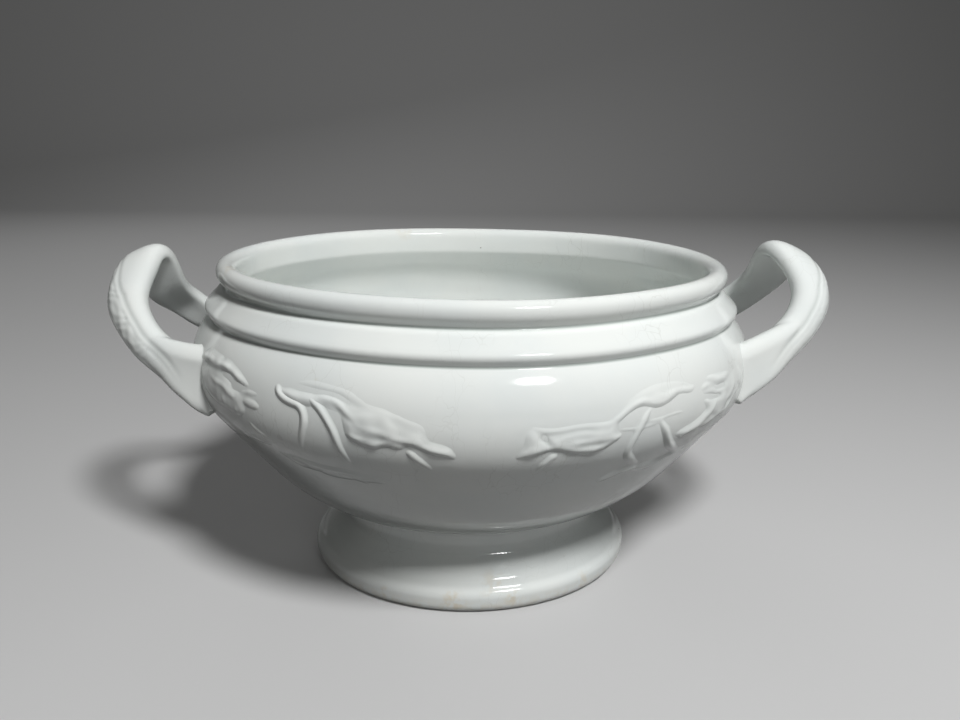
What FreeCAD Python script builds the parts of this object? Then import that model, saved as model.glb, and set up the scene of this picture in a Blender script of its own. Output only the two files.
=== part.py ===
import FreeCAD, Part
import math
import os
import re

from FreeCAD import Placement, Rotation, Vector
import Sketcher

# Oval soup tureen base in glazed ironstone: a round-bellied bowl luted to a pedestal foot,
# with a strap handle at each end and low relief foliage on the belly.
# X runs along the oval from handle to handle, Y across it, Z up. The origin is on the ground
# under the centre of the foot. Every turned profile is drawn at its half length along X, and
# the turned solid is then narrowed in Y into the oval.

SIZES = {
    # oval plan
    "depth_ratio": 0.81,
    # bowl, half lengths and heights
    "wall": 5.5,
    "floor_thickness": 6.0,
    "base_half": 74.0,
    "base_height": 38.5,
    "bilge_half": 113.0,
    "bilge_height": 67.5,
    "bilge_radius": 91.0,
    "flank_half": 137.6,
    "flank_height": 98.9,
    "belly_half": 143.3,
    "belly_height": 116.5,
    "belly_low_radius": 30.0,
    "belly_high_radius": 33.5,
    "groove_half": 132.3,
    "groove_height": 141.3,
    "band_half": 134.4,
    "band_height": 143.9,
    "band_edge": 2.4,
    "band_side_half": 133.7,
    "band_side_height": 147.3,
    "band_top_half": 128.6,
    "band_top_height": 152.3,
    "shoulder_half": 126.3,
    "shoulder_height": 153.8,
    "neck_half": 124.6,
    "neck_height": 155.1,
    "roll_half": 123.5,
    "roll_height": 161.5,
    "roll_radius": 5.0,
    # where the lip's roll leaves the neck, as shares of its radius out and down
    "tuck_out": 0.5,
    "tuck_down": 0.866,
    # inside of the bowl: neck, groove, and the flank's normal out and up
    "inner_neck_drop": 3.0,
    "inner_groove_half": 127.4,
    "inner_groove_height": 142.3,
    "flank_out": 0.79,
    "flank_up": 0.62,
    # pedestal foot
    "foot_half": 87.9,
    "foot_rest_half": 83.6,
    "foot_rest_width": 7.0,
    "foot_edge_radius": 5.0,
    "foot_side_height": 7.4,
    "foot_lip_half": 85.2,
    "foot_lip_height": 12.4,
    "foot_lip_bevel": 1.2,
    "skirt_half": 78.5,
    "skirt_height": 18.6,
    "skirt_radius": 11.0,
    "cove_half": 70.5,
    "cove_height": 24.6,
    "cove_radius": 16.0,
    "inner_cove_half": 60.1,
    "stem_half": 65.0,
    "stem_wall": 8.0,
    "grinding": 1.0,
    # relief foliage: its height out from the belly along X, and each motif's left end, low
    # edge, length and height as seen from the front
    "relief_height": 2.4,
    "leaf_start": 9.0,
    "leaf_low": 103.5,
    "leaf_length": 74.0,
    "leaf_rise": 30.0,
    "twig_start": 24.0,
    "twig_low": 81.5,
    "twig_length": 86.0,
    "twig_rise": 51.0,
    "root_leaf_start": 92.0,
    "root_leaf_low": 107.5,
    "root_leaf_length": 29.0,
    "root_leaf_rise": 27.0,
}

# Strap handle: stations of its middle line from the root buried in the bowl wall to the crown,
# on the front half of the right handle. Each has its place and the strap's two half widths.
HANDLE_STATIONS = {
    "buried": (112.0, -51.0, 108.5, 13.0, 4.6),
    "root": (129.0, -50.0, 117.0, 13.2, 5.6),
    "flare": (141.5, -43.5, 125.0, 10.4, 6.4),
    "limb": (156.8, -35.5, 132.4, 9.4, 6.5),
    "shoulder": (166.8, -26.3, 145.0, 10.2, 6.4),
    "arch": (169.0, -14.0, 156.4, 11.4, 6.3),
    "crown": (164.2, 0.0, 165.9, 10.8, 6.2),
}
STATION_KEYS = ("x", "y", "z", "half_width", "half_thickness")
# The strap's wide direction leans down a little as it runs outward.
STRAP_LEAN = Vector(1.0, 0.0, -0.4)
STRAP_SECTIONS = 9

doc = FreeCAD.newDocument("soup_tureen")


def make_sheet():
    """Spreadsheet with every driving dimension under its own alias."""
    sheet = doc.addObject("Spreadsheet::Sheet", "Sizes")
    cells = dict(SIZES)
    for station, numbers in HANDLE_STATIONS.items():
        for key, number in zip(STATION_KEYS, numbers):
            cells[f"{station}_{key}"] = number
    for row, (alias, number) in enumerate(cells.items(), start=1):
        sheet.set(f"A{row}", alias)
        sheet.set(f"B{row}", str(number))
        sheet.setAlias(f"B{row}", alias)
    doc.recompute()
    return sheet


sheet = make_sheet()


def bound(text):
    """Expression text with each alias pointed at the sheet."""
    return re.sub(r"[a-z][a-z_]*", lambda word: "Sizes." + word.group(0), text)


def value(text):
    """Present value of an expression written in the sheet's aliases."""
    return float(sheet.evalExpression(bound(text)))


def arc_middle(start, end, radius, side):
    """Middle point of the shorter arc from start to end; side 1 puts its centre on the left."""
    chord = end - start
    half = chord.Length / 2
    left = Vector(-chord.y, chord.x, 0).normalize()
    sagitta = radius - math.sqrt(radius * radius - half * half)
    return (start + end) / 2 - left * side * sagitta


def fix_point(sketch, geometry, end, horizontal, vertical):
    """Hold one end of an edge at a place given by two expressions."""
    for text, kind, axis in ((horizontal, "DistanceX", -2), (vertical, "DistanceY", -1)):
        if text == "0":
            sketch.addConstraint(Sketcher.Constraint("PointOnObject", geometry, end, axis))
            continue
        constraint = Sketcher.Constraint(kind, -1, 1, geometry, end, value(text))
        index = sketch.addConstraint(constraint)
        sketch.setExpression(f"Constraints[{index}]", bound(text))


def draw_outline(body, name, corners):
    """Closed outline on the body's XZ plane.

    A corner is (x, z) for a straight edge to the next corner, or (x, z, radius, side) for an arc.
    """
    plane = next(f for f in body.Origin.OriginFeatures if f.Role == "XZ_Plane")
    sketch = body.newObject("Sketcher::SketchObject", name)
    sketch.AttachmentSupport = [(plane, "")]
    sketch.MapMode = "FlatFace"
    points = [Vector(value(corner[0]), value(corner[1]), 0) for corner in corners]
    ends = []
    for index, corner in enumerate(corners):
        start = points[index]
        end = points[(index + 1) % len(points)]
        if len(corner) == 2:
            edge = Part.LineSegment(start, end)
        else:
            edge = Part.Arc(start, arc_middle(start, end, value(corner[2]), corner[3]), end)
        geometry = sketch.addGeometry(edge, False)
        forward = sketch.getPoint(geometry, 1).distanceToPoint(start) < 1e-6
        ends.append((geometry, 1, 2) if forward else (geometry, 2, 1))
    for index, (geometry, first, last) in enumerate(ends):
        following, next_first, _ = ends[(index + 1) % len(ends)]
        sketch.addConstraint(Sketcher.Constraint("Coincident", geometry, last, following, next_first))
    for (geometry, first, _), corner in zip(ends, corners):
        fix_point(sketch, geometry, first, corner[0], corner[1])
        if len(corner) == 4:
            radius = Sketcher.Constraint("Radius", geometry, value(corner[2]))
            index = sketch.addConstraint(radius)
            sketch.setExpression(f"Constraints[{index}]", bound(corner[2]))
    return sketch


def turned(name, corners):
    """Body of revolution about Z from a closed outline."""
    body = doc.addObject("PartDesign::Body", name)
    sketch = draw_outline(body, name + "_outline", corners)
    revolution = body.newObject("PartDesign::Revolution", name + "_turned")
    revolution.Profile = sketch
    revolution.ReferenceAxis = (sketch, ["V_Axis"])
    revolution.Angle = 360
    body.Tip = revolution
    return body


def oval(name, body, ratio):
    """The turned body narrowed in Y by a ratio from the sheet."""
    scaled = doc.addObject("Part::Scale", name)
    scaled.Base = body
    scaled.Uniform = False
    scaled.XScale = 1.0
    scaled.ZScale = 1.0
    scaled.setExpression("YScale", bound(ratio))
    return scaled


def combined(kind, name, base, tool):
    """Boolean of two objects: kind is Cut, Fuse or Common."""
    result = doc.addObject("Part::" + kind, name)
    result.Base = base
    result.Tool = tool
    return result


def mirrored(name, source, normal):
    """Mirror image of an object across the plane through the origin with this normal."""
    image = doc.addObject("Part::Mirroring", name)
    image.Source = source
    image.Normal = normal
    return image


# Bowl: outside from the edge of its flat base up to the top of the rolled lip.
BELLY_OUTSIDE = [
    ("base_half", "base_height", "bilge_radius", 1),
    ("bilge_half", "bilge_height"),
    ("flank_half", "flank_height", "belly_low_radius", 1),
    ("belly_half", "belly_height", "belly_high_radius", 1),
]
NECK_OUTSIDE = [
    ("groove_half", "groove_height"),
    ("band_half", "band_height", "band_edge", 1),
    ("band_side_half", "band_side_height"),
    ("band_top_half", "band_top_height", "band_edge", 1),
    ("shoulder_half", "shoulder_height"),
    ("neck_half", "neck_height"),
    ("roll_half + tuck_out * roll_radius", "roll_height - tuck_down * roll_radius",
     "roll_radius", 1),
    ("roll_half", "roll_height + roll_radius"),
]
# Inside from the lip down to the floor, one wall away from the outside.
BOWL_INSIDE = [
    ("roll_half", "roll_height + roll_radius", "roll_radius", 1),
    ("roll_half - roll_radius", "roll_height"),
    ("neck_half - wall", "neck_height - inner_neck_drop"),
    ("inner_groove_half", "inner_groove_height", "belly_high_radius - wall", -1),
    ("belly_half - wall", "belly_height", "belly_low_radius - wall", -1),
    ("flank_half - flank_out * wall", "flank_height + flank_up * wall"),
    ("bilge_half - flank_out * wall", "bilge_height + flank_up * wall",
     "bilge_radius - wall", -1),
    ("base_half - wall / 2", "base_height + floor_thickness"),
]
bowl = oval("bowl", turned(
    "bowl_round",
    [("0", "base_height")] + BELLY_OUTSIDE + NECK_OUTSIDE[:-1] + BOWL_INSIDE
    + [("0", "base_height + floor_thickness")],
), "depth_ratio")

# The bowl's outside as a filled solid, which shapes the roots of the handles.
bowl_envelope = oval("bowl_envelope", turned(
    "bowl_envelope_round",
    [("0", "base_height")] + BELLY_OUTSIDE + NECK_OUTSIDE + [("0", "roll_height + roll_radius")],
), "depth_ratio")

# Pedestal foot: rest ring, rounded edge, low convex skirt, cove, and the stem luted to the base.
# It is turned a little too deep, then ground flat on the plane that it stands on.
turned_foot = oval("turned_foot", turned("foot_round", [
    ("foot_rest_half - foot_rest_width", "-grinding"),
    ("foot_rest_half", "-grinding"),
    ("foot_rest_half", "0", "foot_edge_radius", 1),
    ("foot_half", "foot_edge_radius"),
    ("foot_half", "foot_side_height", "foot_edge_radius", 1),
    ("foot_lip_half", "foot_lip_height"),
    ("foot_lip_half - foot_lip_bevel", "foot_lip_height + foot_lip_bevel", "skirt_radius", 1),
    ("skirt_half", "skirt_height"),
    ("cove_half", "cove_height", "cove_radius", -1),
    ("stem_half", "base_height"),
    ("stem_half - stem_wall", "base_height"),
    ("inner_cove_half", "cove_height", "cove_radius + stem_wall", 1),
]), "depth_ratio")
above_ground = doc.addObject("Part::Box", "above_ground")
for side in ("Length", "Width"):
    above_ground.setExpression(side, bound("4 * foot_half"))
above_ground.setExpression("Height", bound("2 * base_height"))
for axis in "xy":
    above_ground.setExpression(f"Placement.Base.{axis}", bound("-2 * foot_half"))
foot = combined("Common", "pedestal_foot", turned_foot, above_ground)

# A skin over the belly, from which the relief motifs are cut.
relief_skin = oval("relief_skin", turned(
    "relief_skin_round",
    BELLY_OUTSIDE + [("groove_half", "groove_height")]
    + [("groove_half + relief_height", "groove_height", "belly_high_radius", -1),
       ("belly_half + relief_height", "belly_height", "belly_low_radius", -1),
       ("flank_half + relief_height", "flank_height"),
       ("bilge_half + relief_height", "bilge_height", "bilge_radius", -1),
       ("base_half + relief_height", "base_height")],
), "depth_ratio")


def strap_section(place, tangent, half_width, half_thickness):
    """Ellipse square to the strap, its long axis outward and a little down."""
    wide = STRAP_LEAN - tangent * STRAP_LEAN.dot(tangent)
    wide.normalize()
    ellipse = Part.Ellipse(Vector(), half_width, half_thickness).toShape()
    ellipse.Placement = Placement(place, Rotation(wide, tangent.cross(wide), tangent, "ZXY"))
    return Part.Wire([ellipse])


def make_half_strap():
    """Front half of the right handle, root to crown.

    Its middle line is a space curve on which the section turns and tapers, so it is a loft
    through ellipses set evenly along a spline through the stations.
    """
    points = [Vector(*(value(f"{name}_{key}") for key in "xyz")) for name in HANDLE_STATIONS]
    widths = [
        Vector(value(name + "_half_width"), value(name + "_half_thickness"), 0)
        for name in HANDLE_STATIONS
    ]
    middle = Part.BSplineCurve()
    middle.interpolate(
        Points=points, InitialTangent=points[1] - points[0], FinalTangent=Vector(0, 1, 0)
    )
    taper = Part.BSplineCurve()
    taper.interpolate(Points=widths, Parameters=[middle.parameter(point) for point in points])
    sections = []
    for index in range(STRAP_SECTIONS):
        share = index / (STRAP_SECTIONS - 1)
        along = middle.FirstParameter + share * (middle.LastParameter - middle.FirstParameter)
        width = taper.value(along)
        tangent = Vector(*middle.tangent(along)[0]).normalize()
        sections.append(strap_section(middle.value(along), tangent, width.x, width.y))
    strap = doc.addObject("Part::Feature", "half_strap")
    strap.Shape = Part.makeLoft(sections, True, False)
    return strap


front_limb = combined("Cut", "front_limb", make_half_strap(), bowl_envelope)
rear_limb = mirrored("rear_limb", front_limb, Vector(0, 1, 0))
right_handle = combined("Fuse", "right_handle", front_limb, rear_limb)
left_handle = mirrored("left_handle", right_handle, Vector(1, 0, 0))

# Relief outlines, as fractions of each motif's length outward and of its height. Each one is
# padded forward through the skin on the front right of the bowl.
MOTIFS = {
    # pointed leaf folded over at its stalk end, its tip towards the middle of the bowl
    "leaf_spray": ("leaf", [
        (0.00, 0.06), (0.14, 0.26), (0.18, 0.38), (0.28, 0.62), (0.42, 0.76), (0.60, 0.84),
        (0.76, 0.92), (0.86, 1.00), (0.97, 0.94), (1.00, 0.78), (0.90, 0.66), (0.82, 0.62),
        (0.72, 0.60), (0.66, 0.42), (0.56, 0.26), (0.42, 0.16), (0.28, 0.20), (0.14, 0.04),
    ]),
    # low bough along the belly with two shoots that cross under the leaf
    "twig": ("twig", [
        (0.00, 0.06), (0.22, 0.10), (0.44, 0.14), (0.60, 0.20), (0.76, 0.36), (1.00, 0.30),
        (0.98, 0.36), (0.78, 0.44), (0.64, 0.33), (0.60, 0.32), (0.585, 0.56), (0.60, 0.98),
        (0.55, 0.98), (0.545, 0.60), (0.44, 0.92), (0.40, 0.90), (0.52, 0.54), (0.54, 0.30),
        (0.42, 0.20), (0.20, 0.16), (0.00, 0.10),
    ]),
    # serrated leaf that springs from the handle's root
    "root_leaf": ("root_leaf", [
        (0.00, 0.30), (0.12, 0.52), (0.10, 0.66), (0.28, 0.72), (0.32, 0.86), (0.60, 0.86),
        (0.74, 1.00), (1.00, 0.92), (0.96, 0.44), (0.72, 0.18), (0.56, 0.24), (0.44, 0.02),
        (0.30, 0.20), (0.16, 0.14),
    ]),
}
QUADRANTS = {
    "front_right": (),
    "front_left": (Vector(1, 0, 0),),
    "rear_right": (Vector(0, 1, 0),),
    "rear_left": (Vector(1, 0, 0), Vector(0, 1, 0)),
}


def make_stamp(name, prefix, fractions):
    """A motif's outline on the front right, padded forward past the belly."""
    corners = [
        (f"{prefix}_start + {along} * {prefix}_length", f"{prefix}_low + {up} * {prefix}_rise")
        for along, up in fractions
    ]
    body = doc.addObject("PartDesign::Body", name + "_stamp")
    sketch = draw_outline(body, name + "_outline", corners)
    pad = body.newObject("PartDesign::Pad", name + "_pad")
    pad.Profile = sketch
    pad.setExpression("Length", bound("belly_half"))
    body.Tip = pad
    return body


stamps = {motif: make_stamp(motif, *MOTIFS[motif]) for motif in MOTIFS}
# The twig passes behind the leaf, so it gives way there.
stamps["twig"] = combined("Cut", "twig_behind_leaf", stamps["twig"], stamps["leaf_spray"])

motifs = {}
for motif, stamp in stamps.items():
    front_right = combined("Common", f"{motif}_front_right", stamp, relief_skin)
    for quadrant, normals in QUADRANTS.items():
        piece = front_right
        for step, normal in enumerate(normals):
            last = step == len(normals) - 1
            piece = mirrored(f"{motif}_{quadrant}" if last else f"{motif}_half_turn", piece, normal)
        motifs[f"{motif}_{quadrant}"] = piece

doc.recompute()

nodes = {
    "bowl": bowl,
    "pedestal_foot": foot,
    "right_handle": right_handle,
    "left_handle": left_handle,
}
nodes.update(motifs)

for feature in doc.Objects:
    if "Invalid" in feature.State or "Error" in feature.State:
        raise RuntimeError(f"{feature.Name} failed: {feature.State}")

os.makedirs("parts", exist_ok=True)
for label, feature in nodes.items():
    feature.Label = label
    shape = feature.Shape
    if shape.isNull() or not shape.isValid() or not shape.Solids:
        raise RuntimeError(f"{label} has no valid solid")
    shape.exportStep(f"parts/{label}.step")
    box = shape.optimalBoundingBox()
    print(label, len(shape.Solids), round(shape.Volume), [round(n, 1) for n in (
        box.XMin, box.XMax, box.YMin, box.YMax, box.ZMin, box.ZMax)])
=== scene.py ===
import math

import bpy
import numpy as np
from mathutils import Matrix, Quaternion, Vector


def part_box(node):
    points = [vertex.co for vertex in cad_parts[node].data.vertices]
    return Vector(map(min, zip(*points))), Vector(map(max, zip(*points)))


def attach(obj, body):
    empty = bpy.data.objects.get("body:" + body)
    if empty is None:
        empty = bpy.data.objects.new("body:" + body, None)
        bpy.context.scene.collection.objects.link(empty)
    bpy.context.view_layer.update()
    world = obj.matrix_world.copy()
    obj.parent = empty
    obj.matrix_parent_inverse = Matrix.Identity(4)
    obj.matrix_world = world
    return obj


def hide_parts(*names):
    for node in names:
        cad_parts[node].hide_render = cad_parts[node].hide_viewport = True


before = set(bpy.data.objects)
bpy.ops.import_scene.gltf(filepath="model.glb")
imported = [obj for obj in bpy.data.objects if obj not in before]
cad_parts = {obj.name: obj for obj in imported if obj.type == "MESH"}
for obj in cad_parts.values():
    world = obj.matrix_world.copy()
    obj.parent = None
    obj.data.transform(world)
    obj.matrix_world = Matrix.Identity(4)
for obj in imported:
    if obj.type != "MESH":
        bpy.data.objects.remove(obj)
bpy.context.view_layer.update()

MM = 0.001
BOWL_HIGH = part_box("bowl")[1]
FOOT_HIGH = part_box("pedestal_foot")[1]
DEPTH_RATIO = BOWL_HIGH.y / BOWL_HIGH.x

# Outlines are half lengths and heights in millimetres, as (half, height) or, where an arc
# leaves the corner, (half, height, radius, side): side 1 bulges outward on the way up.
BASE_HEIGHT = 38.5
FLOOR_HEIGHT = 44.5
BELLY = [
    (74, BASE_HEIGHT, 91, 1),
    (113, 67.5),
    (137.6, 98.9, 30, 1),
    (143.3, 116.5, 33.5, 1),
    (132.3, 141.3),
]
NECK = [
    (134.4, 143.9, 2.4, 1),
    (133.7, 147.3),
    (128.6, 152.3, 2.4, 1),
    (126.3, 153.8),
    (124.6, 155.1),
    (126.0, 157.2, 5, 1),
    (123.5, 166.5, 5, 1),
]
INSIDE = [
    (118.5, 161.5),
    (119.1, 152.1),
    (127.4, 142.3, 28, -1),
    (137.8, 116.5, 24.5, -1),
    (133.3, 102.3),
    (108.7, 70.9, 85.5, -1),
    (71.3, FLOOR_HEIGHT),
]
FOOT = [
    (76.6, 0),
    (83.6, 0, 5, 1),
    (87.9, 5),
    (87.9, 7.4, 5, 1),
    (85.2, 12.4),
    (84.0, 13.6, 11, 1),
    (78.5, 18.6),
    (70.5, 24.6, 14, -1),
    (67.5, 34.0, 8, -1),
    (71.5, BASE_HEIGHT),
    (57.0, BASE_HEIGHT),
    (60.1, 24.6, 24, 1),
    (76.6, 0),
]
BELLY_HALF = 143.3
FOOT_HALF = 87.9
BOWL_SOFTNESS = 0.8
FOOT_SOFTNESS = 0.6
BOWL_ROWS, BOWL_COLUMNS = 210, 300
FOOT_ROWS, FOOT_COLUMNS = 130, 260
BOWL_SCALE = BOWL_HIGH.x / (BELLY_HALF * MM)
FOOT_SCALE = FOOT_HIGH.x / (FOOT_HALF * MM)


def outline(corners, step=0.2):
    """Evenly fine points along an outline of straight lines and arcs."""
    path = []
    for here, there in zip(corners, corners[1:]):
        start, end = np.array(here[:2], float), np.array(there[:2], float)
        chord = end - start
        length = np.hypot(*chord)
        share = np.linspace(0, 1, max(2, math.ceil(length / step)), endpoint=False)[:, None]
        if len(here) == 2:
            path.append(start + share * chord)
            continue
        radius, side = here[2:]
        normal = np.array([-chord[1], chord[0]]) / length * side
        centre = (start + end) / 2 + normal * math.sqrt(radius**2 - (length / 2) ** 2)
        first = math.atan2(*(start - centre)[::-1])
        turn = 2 * math.asin(length / 2 / radius) * side
        angle = first + share * turn
        path.append(centre + radius * np.hstack([np.cos(angle), np.sin(angle)]))
    path.append(np.array([corners[-1][:2]], float))
    return np.vstack(path)


def even(path, spacing):
    """The path resampled at even spacing."""
    run = np.concatenate([[0], np.cumsum(np.hypot(*np.diff(path, axis=0).T))])
    at = np.linspace(0, run[-1], max(8, round(run[-1] / spacing)))
    return np.stack([np.interp(at, run, path[:, k]) for k in range(2)], 1)


def softened(path, reach, closed=False):
    """The path with its corners rounded by a bell-shaped average, reach millimetres wide."""
    spacing = 0.2
    path = even(path, spacing)
    half = math.ceil(3 * reach / spacing)
    weight = np.exp(-0.5 * (np.arange(-half, half + 1) * spacing / reach) ** 2)
    weight /= weight.sum()
    mode = "wrap" if closed else "edge"
    body = path[:-1] if closed else path
    made = np.stack([
        np.convolve(np.pad(body[:, k], half, mode=mode), weight, mode="valid") for k in range(2)
    ], 1)
    if closed:
        return np.vstack([made, made[:1]])
    made[0], made[-1] = path[0], path[-1]
    return made


def thinned(path, count, bend_weight=14.0):
    """The path with count points, closer together where it bends."""
    step = np.diff(path, axis=0)
    length = np.hypot(*step.T)
    heading = np.unwrap(np.arctan2(step[:, 1], step[:, 0]))
    bend = np.abs(np.gradient(heading))
    cost = np.concatenate([[0], np.cumsum(length + bend_weight * np.convolve(bend, np.ones(9) / 9, "same"))])
    at = np.linspace(0, cost[-1], count)
    return np.stack([np.interp(at, cost, path[:, k]) for k in range(2)], 1)


def hand_made(points):
    """The slight unevenness of hand-made ware: points in mm drift slowly, but not at the ground."""
    x, y, z = points[..., 0], points[..., 1], points[..., 2]
    drift = np.empty_like(points)
    drift[..., 0] = 0.30 * np.sin(0.031 * y + 0.017 * z + 0.6) + 0.12 * np.sin(0.083 * z - 0.05 * x)
    drift[..., 1] = 0.35 * np.sin(0.027 * x - 0.021 * z + 1.9) + 0.12 * np.sin(0.071 * x + 0.06 * z)
    drift[..., 2] = 0.28 * np.sin(0.033 * x + 0.9) * np.cos(0.029 * y + 0.4)
    rooted = np.clip(z / 12, 0, 1)
    return points + drift * rooted[..., None]


def new_object(name, points, faces, pool_and_shade=None):
    """A smooth-shaded mesh object from points in millimetres; the last argument marks hollows, for gathered
    glaze and painted shade.
    """
    mesh = bpy.data.meshes.new(name)
    mesh.from_pydata((np.asarray(points) * MM).tolist(), [], faces)
    mesh.validate()
    mesh.polygons.foreach_set("use_smooth", [True] * len(mesh.polygons))
    mesh.update()
    if pool_and_shade is not None:
        layer = mesh.attributes.new("pool_and_shade", "FLOAT", "POINT")
        layer.data.foreach_set("value", np.clip(pool_and_shade, 0, 1).astype(np.float32))
    piece = bpy.data.objects.new(name, mesh)
    bpy.context.scene.collection.objects.link(piece)
    return piece


def turned_piece(name, path, around, closed=False):
    """Sweeps an outline round the oval plan. An open outline starts and ends on the axis."""
    angle = np.linspace(0, 2 * math.pi, around, endpoint=False)
    rings = path[:-1] if closed else path[1:-1]
    half, height = rings[:, :1], rings[:, 1:]
    points = np.stack([
        half * np.sin(angle),
        -DEPTH_RATIO * half * np.cos(angle),
        height + 0 * angle,
    ], -1)
    count = len(rings)
    points = points.reshape(-1, 3)
    way = np.diff(np.vstack([rings[-1:] if closed else path[:1], rings, path[-1:]]), axis=0)
    length = np.hypot(*way.T)
    turn = way[:-1, 0] * way[1:, 1] - way[:-1, 1] * way[1:, 0]
    bend = turn / np.maximum(length[:-1] * length[1:] * (length[:-1] + length[1:]) / 2, 1e-9)
    # Concave bends of the outline are marked for the darker glaze: gathered glaze and painted shade.
    pool_and_shade = np.repeat(np.clip(-bend * 1.6 - 0.25, 0, 1), around)
    faces = []
    for row in range(count if closed else count - 1):
        low, high = row * around, (row + 1) % count * around
        for k in range(around):
            after = (k + 1) % around
            faces.append((low + k, low + after, high + after, high + k))
    if not closed:
        base, top = len(points), len(points) + 1
        last = (count - 1) * around
        points = np.vstack([points, [[0, 0, path[0][1]]], [[0, 0, path[-1][1]]]])
        pool_and_shade = np.concatenate([pool_and_shade, [0, 0]])
        for k in range(around):
            after = (k + 1) % around
            faces.append((base, after, k))
            faces.append((top, last + k, last + after))
    return new_object(name, hand_made(points), faces, pool_and_shade)


bowl_line = outline([(0, BASE_HEIGHT)] + BELLY + NECK + INSIDE + [(0, FLOOR_HEIGHT)])
bowl_path = softened(bowl_line, BOWL_SOFTNESS) * BOWL_SCALE
bowl = turned_piece("bowl_shell", thinned(bowl_path, BOWL_ROWS), BOWL_COLUMNS)
foot_path = softened(outline(FOOT), FOOT_SOFTNESS, closed=True) * FOOT_SCALE
foot = turned_piece("foot_shell", thinned(foot_path, FOOT_ROWS), FOOT_COLUMNS, closed=True)


def smooth_run(stations, count):
    """Evenly spread rows along a natural cubic spline through the stations (x, y, z, ...)."""
    rows = np.array(stations, float)
    last = len(rows) - 1
    knots = np.concatenate([[0], np.cumsum(np.linalg.norm(np.diff(rows[:, :3], axis=0), axis=1))])
    gaps = np.diff(knots)
    system = np.eye(last + 1)
    right = np.zeros_like(rows)
    for k in range(1, last):
        system[k, k - 1:k + 2] = gaps[k - 1], 2 * (gaps[k - 1] + gaps[k]), gaps[k]
        right[k] = 6 * ((rows[k + 1] - rows[k]) / gaps[k] - (rows[k] - rows[k - 1]) / gaps[k - 1])
    bend = np.linalg.solve(system, right)
    at = np.linspace(0, knots[-1], count)
    k = np.clip(np.searchsorted(knots, at) - 1, 0, last - 1)
    before = ((knots[k + 1] - at) / gaps[k])[:, None]
    after = 1 - before
    cubic = (before**3 - before) * bend[k] + (after**3 - after) * bend[k + 1]
    return before * rows[k] + after * rows[k + 1] + cubic * (gaps[k] ** 2 / 6)[:, None]


def strap_frames(run, lean):
    """Unit vectors along, across and out of a strap whose broad direction follows lean."""
    along = np.gradient(run[:, :3], axis=0)
    along /= np.linalg.norm(along, axis=1)[:, None]
    across = lean - (along @ lean)[:, None] * along
    across /= np.linalg.norm(across, axis=1)[:, None]
    return along, across, np.cross(along, across)


def swept(run, lean, face, around=48, boxy=0.85):
    """Closed tube along a run of (x, y, z, half width, half thickness, hollow underneath)."""
    along, across, out = strap_frames(run, lean)
    angle = np.linspace(0, 2 * math.pi, around, endpoint=False)
    wide = np.sign(np.cos(angle)) * np.abs(np.cos(angle)) ** boxy
    thick = np.sign(np.sin(angle)) * np.abs(np.sin(angle)) ** boxy
    under = np.where(thick * face > 0, 1.0, 0.0)
    dish = under * np.clip(1 - (wide / 0.86) ** 2, 0, 1) ** 0.7
    rise = run[:, 4:5] * thick * (1 - run[:, 5:6] * dish)
    points = run[:, None, :3] + across[:, None] * (run[:, 3:4] * wide)[..., None]
    points = points + out[:, None] * rise[..., None]
    count = len(run)
    faces = []
    for row in range(count - 1):
        low, high = row * around, (row + 1) * around
        for k in range(around):
            after = (k + 1) % around
            faces.append((low + k, low + after, high + after, high + k))
    faces.append(tuple(reversed(range(around))))
    faces.append(tuple(range((count - 1) * around, count * around)))
    return points.reshape(-1, 3), faces


BELLY_LINE = softened(outline(BELLY), BOWL_SOFTNESS) * BOWL_SCALE
BELLY_SLOPE = np.gradient(BELLY_LINE, axis=0)


def on_belly(angle, height, lift=0.0):
    """Points on the belly, or lift above it: angle in degrees from the front, towards +X."""
    turn = np.radians(angle)
    half = np.interp(height, BELLY_LINE[:, 1], BELLY_LINE[:, 0])
    run_out = np.interp(height, BELLY_LINE[:, 1], BELLY_SLOPE[:, 0])
    run_up = np.interp(height, BELLY_LINE[:, 1], BELLY_SLOPE[:, 1])
    point = np.stack([half * np.sin(turn), -DEPTH_RATIO * half * np.cos(turn), height + 0 * turn], -1)
    normal = np.stack([
        DEPTH_RATIO * run_up * np.sin(turn),
        -run_up * np.cos(turn),
        -DEPTH_RATIO * run_out + 0 * turn,
    ], -1)
    normal /= np.linalg.norm(normal, axis=-1)[..., None]
    return point + normal * np.asarray(lift)[..., None]


def belly_slab(angles, heights, top, bottom, steps=(30, 24)):
    """A closed slab under the belly's surface, from which a handle's root grows."""
    angle, height = np.meshgrid(np.linspace(*angles, steps[0]), np.linspace(*heights, steps[1]))
    upper, lower = on_belly(angle, height, top), on_belly(angle, height, bottom)
    return closed_sheet(upper, lower)


def closed_sheet(upper, lower, keep=None):
    """Two grids of points joined, over the cells to keep, into one closed sheet."""
    rows, columns = upper.shape[:2]
    count = rows * columns
    number = np.arange(count).reshape(rows, columns)
    quads = np.stack([number[:-1, :-1], number[:-1, 1:], number[1:, 1:], number[1:, :-1]], -1)
    quads = quads.reshape(-1, 4) if keep is None else quads[keep]
    sides = np.concatenate([quads[:, (k, (k + 1) % 4)] for k in range(4)])
    taken = set(map(tuple, sides.tolist()))
    walls = [(b, a, a + count, b + count) for a, b in taken if (b, a) not in taken]
    faces = np.concatenate([quads, quads[:, ::-1] + count, np.array(sorted(walls))])
    used, faces = np.unique(faces, return_inverse=True)
    points = np.vstack([upper.reshape(count, -1), lower.reshape(count, -1)])[used]
    return points, [tuple(face) for face in faces.reshape(-1, 4).tolist()]


def joined(parts):
    """Several (points, faces) as one."""
    points, faces = [], []
    start = 0
    for some_points, some_faces in parts:
        points.append(some_points)
        faces += [tuple(start + k for k in face) for face in some_faces]
        start += len(some_points)
    return np.vstack(points), faces


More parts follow.
